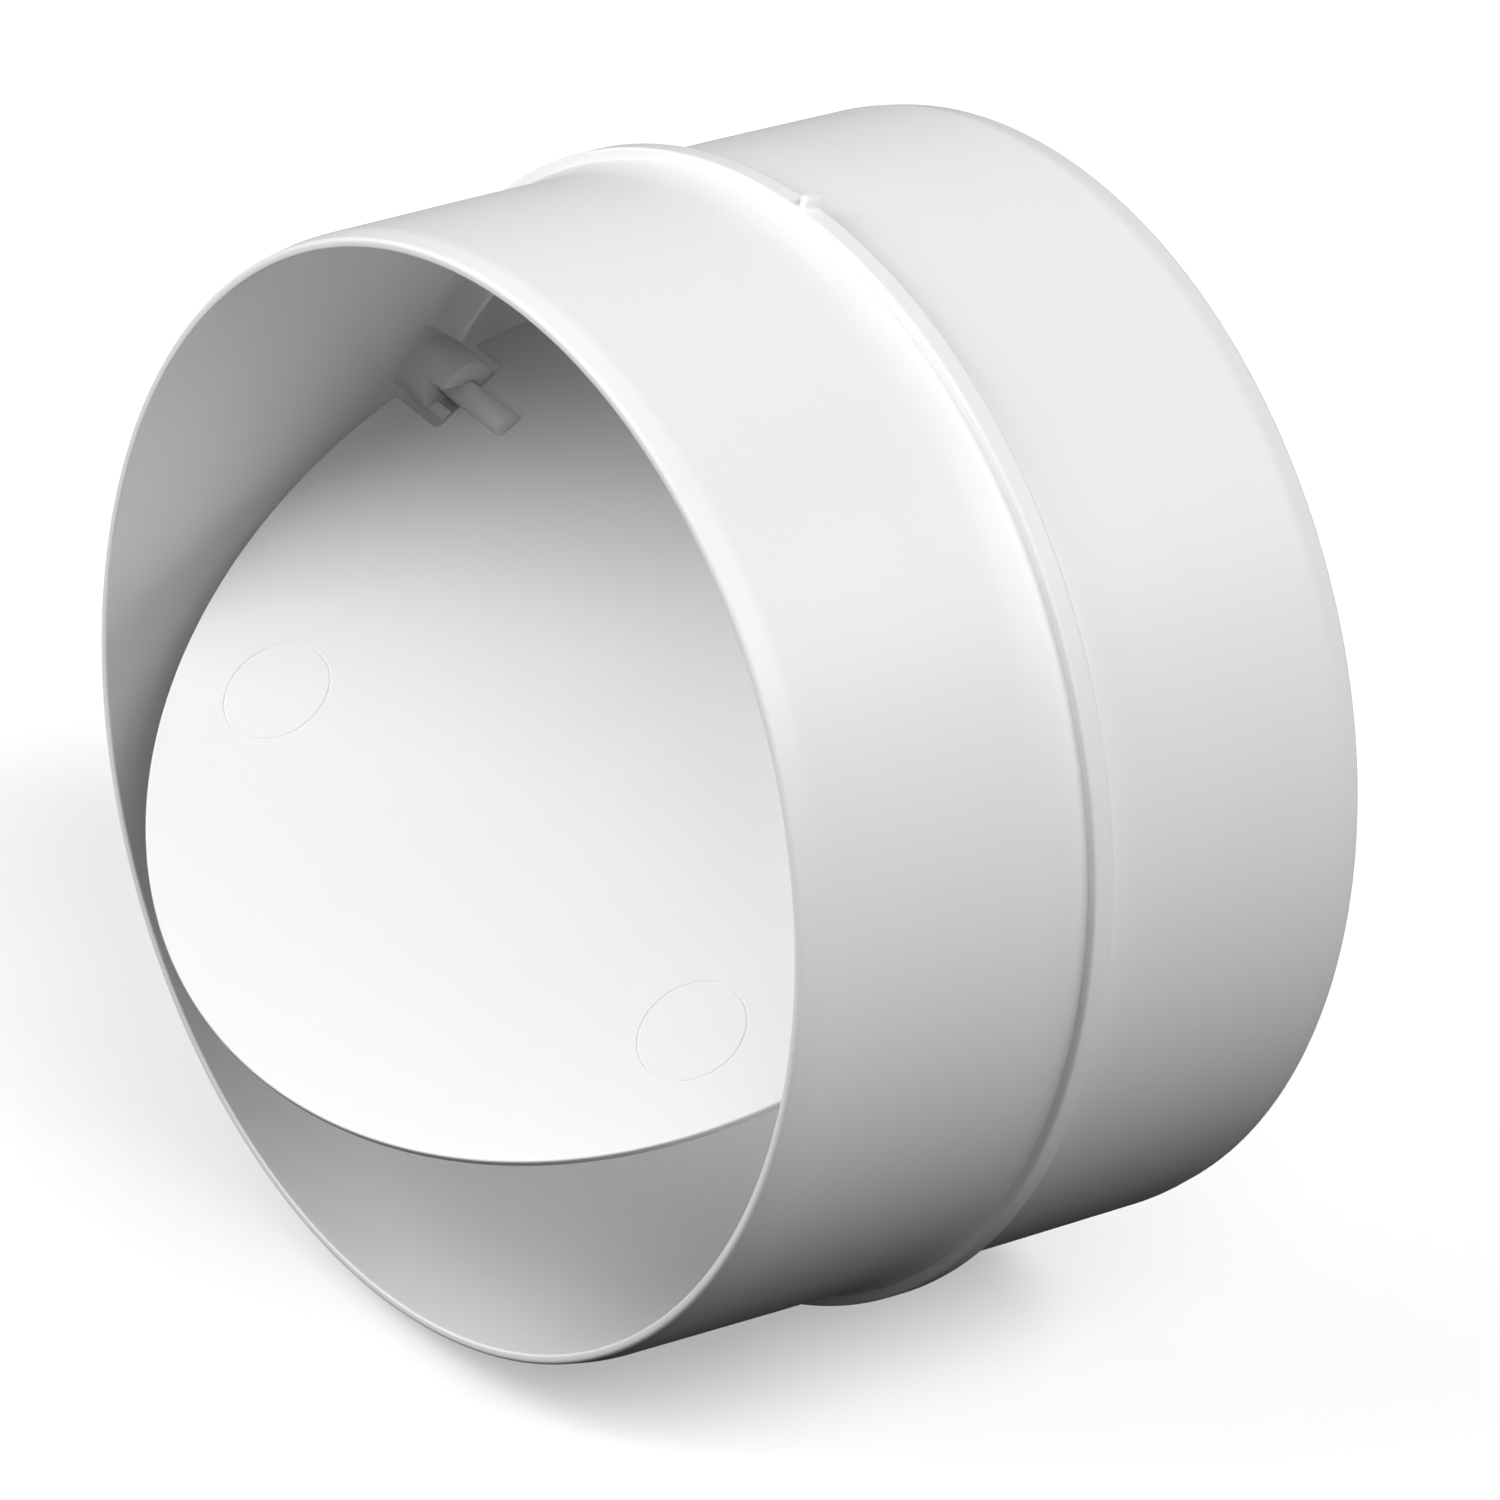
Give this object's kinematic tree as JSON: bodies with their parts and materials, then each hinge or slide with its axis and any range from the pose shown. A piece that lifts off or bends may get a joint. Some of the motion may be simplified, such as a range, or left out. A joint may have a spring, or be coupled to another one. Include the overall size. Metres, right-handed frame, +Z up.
{
  "type": "round duct connector with non-return flap",
  "caption": "Short rigid round duct connector with a raised collar between two plain spigots and a hinged non-return flap disc across its bore.",
  "frame": {"origin": "on the duct axis, in the middle plane of the collar", "axes": "+Y along the duct axis towards the back spigot (the inlet), +X along the flap's hinge line, +Z up, towards the mark on the collar"},
  "size_m": [0.1028, 0.077, 0.1037],
  "materials": {
    "housing_plastic": "satin moulded white",
    "flap_plastic": "satin moulded white"
  },
  "bodies": {
    "housing": {"duct_body": "housing_plastic", "upper_seat_rib": "housing_plastic", "left_hinge_clip": "housing_plastic", "right_hinge_clip": "housing_plastic"},
    "flap": {"flap_disc": "flap_plastic", "left_pivot_pin": "flap_plastic", "right_pivot_pin": "flap_plastic"}
  },
  "joints": [
    {"name": "flap_swing", "type": "hinge", "parent": "housing", "child": "flap", "pos_m": [0, -0.00047, 0.01195], "axis": [-1, 0, 0], "range_deg": [-53, 32]}
  ]
}
